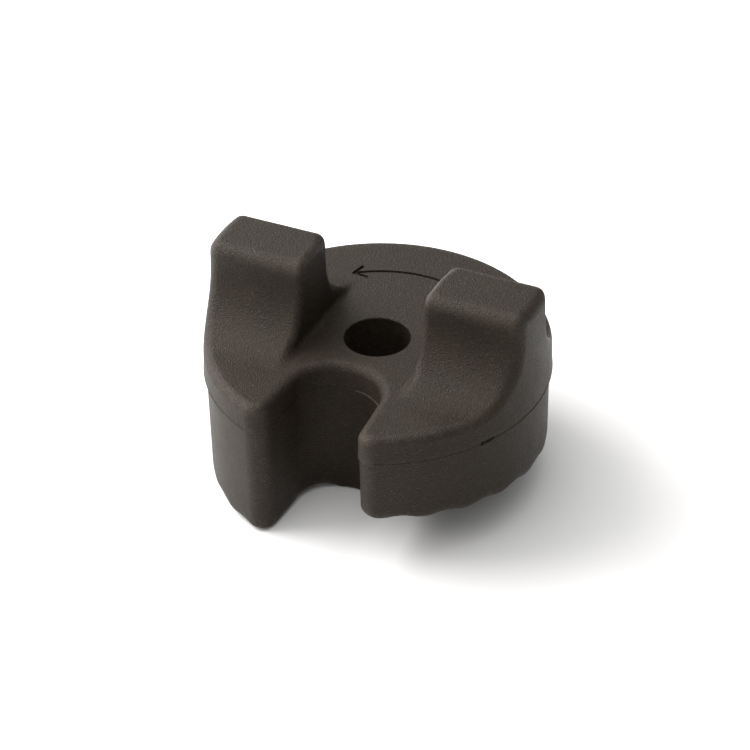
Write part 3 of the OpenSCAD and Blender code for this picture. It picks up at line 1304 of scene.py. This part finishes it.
class ThreadedBush:
    """The steel bush: a turned blank whose thread and knurl follow rules."""

    THREAD_ZONE = "thread_zone"
    KNURL_ZONE = "knurl_zone"
    THREAD_FLANK = (0.1, 0.82)
    KNURL_FLANK = (0.05, 0.6)
    SAME = 0.01
    CRISP_PAST = 32

    def __init__(self, sizes: BushSizes) -> None:
        """Keeps the sizes."""
        self.s = sizes

    def blank(self) -> bpy.types.Object:
        """Turns the blank, with rows close enough for thread and knurl.

        Returns:
            The blank, with its zones marked.
        """
        s = self.s
        groove_low = (s.length - s.groove_w) / 2
        groove_high = groove_low + s.groove_w
        knurled = s.outer_r - s.knurl_depth
        grooved = s.outer_r - s.groove_depth
        corners = [(s.thread_r, s.chamfer), (s.thread_r + s.chamfer, 0), (s.outer_r - s.end_bevel, 0),
                   (s.outer_r, s.end_bevel), (s.outer_r, s.collar),
                   (knurled, s.collar + s.collar_bevel), (knurled, groove_low),
                   (grooved, groove_low + s.groove_bevel), (grooved, groove_high - s.groove_bevel),
                   (knurled, groove_high), (knurled, s.length - s.tail_bevel_h),
                   (knurled - s.tail_bevel_w, s.length), (s.thread_r + s.chamfer, s.length),
                   (s.thread_r, s.length - s.chamfer)]
        outline: list[tuple[float, float]] = []
        for here, there in zip(corners, corners[1:] + corners[:1]):
            rise = abs(there[1] - here[1])
            spacing = s.thread_row if here[0] == there[0] == s.thread_r else s.plain_row
            count = max(1, round(rise / spacing)) if here[0] == there[0] else 1
            outline += [(here[0] + (there[0] - here[0]) * i / count,
                         here[1] + (there[1] - here[1]) * i / count) for i in range(count)]
        piece = turned_mesh("threaded_bush", outline, s.sides)
        self.mark_zones(piece.data)
        return piece

    def mark_zones(self, mesh: bpy.types.Mesh) -> None:
        """Marks where the thread and the knurl go, each from 0 to 1.

        Args:
            mesh: The blank's mesh.
        """
        s = self.s
        p = corner_points(mesh)
        r, z = np.hypot(p[:, 0], p[:, 1]), p[:, 2]
        fade = np.clip(np.minimum(z, s.length - z) / s.pitch * s.run_out, 0, 1)
        thread = np.where(r < s.thread_r + self.SAME, fade, 0)
        knurled = np.abs(r - (s.outer_r - s.knurl_depth)) < self.SAME
        zones = {self.THREAD_ZONE: thread, self.KNURL_ZONE: np.where(knurled, 1.0, 0.0)}
        for name, values in zones.items():
            layer = mesh.attributes.new(name, "FLOAT", "POINT")
            layer.data.foreach_set("value", values.astype(np.float32))

    def tree(self) -> bpy.types.NodeTree:
        """Builds the Geometry Nodes tree that gives a blank its thread and knurl.

        Returns:
            The tree.
        """
        tree = bpy.data.node_groups.new("thread_and_knurl", "GeometryNodeTree")
        add_sockets(tree, {"Geometry": GEOMETRY, "Pitch": FLOAT, "Thread Depth": FLOAT,
                           "Knurl Count": FLOAT, "Knurl Lead": FLOAT, "Knurl Depth": FLOAT,
                           "Material": "NodeSocketMaterial"}, {"Geometry": GEOMETRY})
        g = Graph(tree)
        start = g.add("NodeGroupInput")
        place = g.add("GeometryNodeInputPosition").outputs[0]
        x, y, z = g.add("ShaderNodeSeparateXYZ", None, Vector=place).outputs
        turn = g.math("DIVIDE", g.math("ARCTAN2", y, x), TURN)

        def zone(name: str) -> bpy.types.NodeSocket:
            """Reads one of the blank's zones."""
            node = g.add("GeometryNodeInputNamedAttribute", {"data_type": "FLOAT"}, Name=name)
            return node.outputs["Attribute"]

        def saw(value: bpy.types.NodeSocket) -> bpy.types.NodeSocket:
            """Turns a steady rise into a row of even ridges from 0 to 1."""
            doubled = g.math("MULTIPLY", g.math("FRACT", value), 2.0)
            return g.math("SUBTRACT", 1.0, g.math("ABSOLUTE", g.math("SUBTRACT", doubled, 1.0)))

        rise = g.math("DIVIDE", z, start.outputs["Pitch"])
        ridge = g.remap(saw(g.math("SUBTRACT", rise, turn)), *self.THREAD_FLANK, 0, 1)
        thread = g.math("MULTIPLY", ridge, g.math("MULTIPLY", zone(self.THREAD_ZONE),
                                                  start.outputs["Thread Depth"]))
        around = g.math("MULTIPLY", turn, start.outputs["Knurl Count"])
        lean = g.math("MULTIPLY", g.math("DIVIDE", z, start.outputs["Knurl Lead"]),
                      start.outputs["Knurl Count"])
        diamonds = g.math("MINIMUM", saw(g.math("ADD", around, lean)),
                          saw(g.math("SUBTRACT", around, lean)))
        diamonds = g.remap(diamonds, *self.KNURL_FLANK, 0, 1)
        knurl = g.math("MULTIPLY", diamonds, g.math("MULTIPLY", zone(self.KNURL_ZONE),
                                                    start.outputs["Knurl Depth"]))
        out = g.math("SUBTRACT", knurl, thread)
        radius = g.math("SQRT", g.math("ADD", g.math("MULTIPLY", x, x), g.math("MULTIPLY", y, y)))
        share = g.math("DIVIDE", out, radius)
        move = g.add("ShaderNodeCombineXYZ", None, X=g.math("MULTIPLY", x, share),
                     Y=g.math("MULTIPLY", y, share))
        moved = g.add("GeometryNodeSetPosition", None, Geometry=start.outputs["Geometry"],
                      Offset=move.outputs[0])
        end_tree(g, start, moved.outputs[0])
        return tree

    def build(self, finish: bpy.types.Material) -> bpy.types.Object:
        """Builds the finished bush.

        Args:
            finish: The material that it gets.

        Returns:
            The bush.
        """
        s = self.s
        piece = self.blank()
        run_tree(piece, self.tree(), {
            "Pitch": s.pitch * MM, "Thread Depth": (s.thread_r - s.core_r) * MM,
            "Knurl Count": float(s.knurl_count), "Knurl Lead": s.knurl_lead * MM,
            "Knurl Depth": s.knurl_depth * MM, "Material": finish})
        shade_by_angle(piece, self.CRISP_PAST)
        return piece


# ---------------------------------------------------------------- the studio


@dataclass(frozen=True)
class Studio:
    """Camera, pale floor and soft light."""

    lens: float = 144.0
    film_width: float = 36.0
    sees_to: float = 20.0
    camera_place: tuple[float, float, float] = (0.15263673829, -0.31821653811, 0.24530096697)
    camera_right: tuple[float, float, float] = (0.90553761, 0.42400456, -0.01489208)
    camera_up: tuple[float, float, float] = (-0.23547548, 0.53147861, 0.81368408)
    floor_half: float = 3.0
    floor_gap: float = 0.00002
    floor_colour: tuple[float, float, float] = (0.86, 0.855, 0.85)
    floor_rough: float = 0.85
    floor_gloss: float = 0.2
    key_from: tuple[float, float, float] = (-0.76, -0.06, 0.64)
    key_size: float = 0.36
    key_away: float = 0.42
    key_watts: float = 3.0
    key_colour: tuple[float, float, float] = (1.0, 0.985, 0.965)
    sky_from: tuple[float, float, float] = (-0.35, -0.10, 0.93)
    sky_low: float = 0.06
    sky_high: float = 2.0
    sky_power: float = 4.0
    backdrop_from: tuple[float, float, float] = (-0.75, 0.62, 0.22)
    backdrop_bright: float = 1.7
    backdrop_power: float = 16.0

    def camera(self, top: float) -> None:
        """Places the camera, aimed by its own axes.

        Args:
            top: Height of the grip's flat top, which the place is counted from.
        """
        data = bpy.data.cameras.new("camera")
        data.lens, data.sensor_width, data.clip_end = self.lens, self.film_width, self.sees_to
        eye = bpy.data.objects.new("camera", data)
        bpy.context.scene.collection.objects.link(eye)
        right = Vector(self.camera_right).normalized()
        back = right.cross(Vector(self.camera_up)).normalized()
        up = back.cross(right)
        turn = Matrix((right, up, back)).transposed().to_4x4()
        place = Vector(self.camera_place) + Vector((0, 0, top))
        eye.matrix_world = Matrix.Translation(place) @ turn
        bpy.context.scene.camera = eye

    def floor(self, height: float) -> None:
        """Lays the floor under the lowest point.

        Args:
            height: Height of the floor.
        """
        h = self.floor_half
        mesh = bpy.data.meshes.new("floor")
        mesh.from_pydata([(-h, -h, height), (h, -h, height), (h, h, height), (-h, h, height)],
                         [], [(0, 1, 2, 3)])
        plane = new_object("floor", mesh)
        paper = bpy.data.materials.new("paper")
        paper.use_nodes = True
        shader = paper.node_tree.nodes["Principled BSDF"]
        shader.inputs["Base Color"].default_value = (*self.floor_colour, 1)
        shader.inputs["Roughness"].default_value = self.floor_rough
        shader.inputs["Specular IOR Level"].default_value = self.floor_gloss
        mesh.materials.append(paper)
        plane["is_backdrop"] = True

    def light(self) -> None:
        """Hangs the one large soft light, and sets the sky and the backdrop's glow."""
        data = bpy.data.lights.new("soft_key", "AREA")
        data.shape, data.size = "SQUARE", self.key_size
        data.energy, data.color = self.key_watts, self.key_colour
        key = bpy.data.objects.new("soft_key", data)
        bpy.context.scene.collection.objects.link(key)
        way = Vector(self.key_from).normalized()
        key.location = way * self.key_away
        key.rotation_euler = way.to_track_quat("Z", "Y").to_euler()
        world = bpy.data.worlds.new("studio")
        world.use_nodes = True
        g = Graph(world.node_tree)
        place = g.add("ShaderNodeTexCoord").outputs["Generated"]

        def towards(way: tuple[float, float, float]) -> bpy.types.NodeSocket:
            """How nearly a direction of view points one way.

            Args:
                way: The way, of any length.

            Returns:
                The cosine's socket.
            """
            facing = g.add("ShaderNodeVectorMath", {"operation": "DOT_PRODUCT"})
            g.feed(facing.inputs[0], place)
            facing.inputs[1].default_value = Vector(way).normalized()
            return facing.outputs["Value"]

        rise = g.math("POWER", g.remap(towards(self.sky_from), -1, 1, 0, 1), self.sky_power)
        glow = g.math("POWER", g.math("MAXIMUM", towards(self.backdrop_from), 0.0),
                      self.backdrop_power)
        bright = g.math("ADD", g.remap(rise, 0, 1, self.sky_low, self.sky_high),
                        g.math("MULTIPLY", glow, self.backdrop_bright))
        sky = world.node_tree.nodes["Background"]
        sky.inputs["Color"].default_value = (1, 1, 1, 1)
        g.feed(sky.inputs["Strength"], bright)
        bpy.context.scene.world = world
        bpy.context.scene.view_settings.view_transform = "Standard"

    def set_up(self, floor_height: float, top: float) -> None:
        """Sets up the whole studio.

        Args:
            floor_height: Height of the floor.
            top: Height of the grip's flat top.
        """
        self.camera(top)
        self.floor(floor_height - self.floor_gap)
        self.light()


def main() -> None:
    """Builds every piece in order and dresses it."""
    logging.basicConfig(level=logging.INFO, format="%(message)s")
    cad_box = [list(corner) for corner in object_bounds()]
    grain, wear_and_highlight_tree = moulded_grain_group(), wear_and_highlight_group()
    sizes = GripSizes.from_frame()
    Studio().set_up(cad_box[0][2], sizes.plateau * MM)

    plastic = MouldedPlastic().make(grain, wear_and_highlight_tree)
    grip = GripMoulding(sizes).build()
    grip.data.materials.clear()
    grip.data.materials.append(plastic)
    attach(grip, BODY)
    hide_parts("grip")

    bush = ThreadedBush(BushSizes.from_frame()).build(ZincSteel().make(grain, wear_and_highlight_tree))
    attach(bush, BODY)
    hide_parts("threaded_bush")

    for piece in (grip, bush):
        LOG.info("%s: %d faces", piece.name, len(piece.data.polygons))


if __name__ == "__main__":
    main()
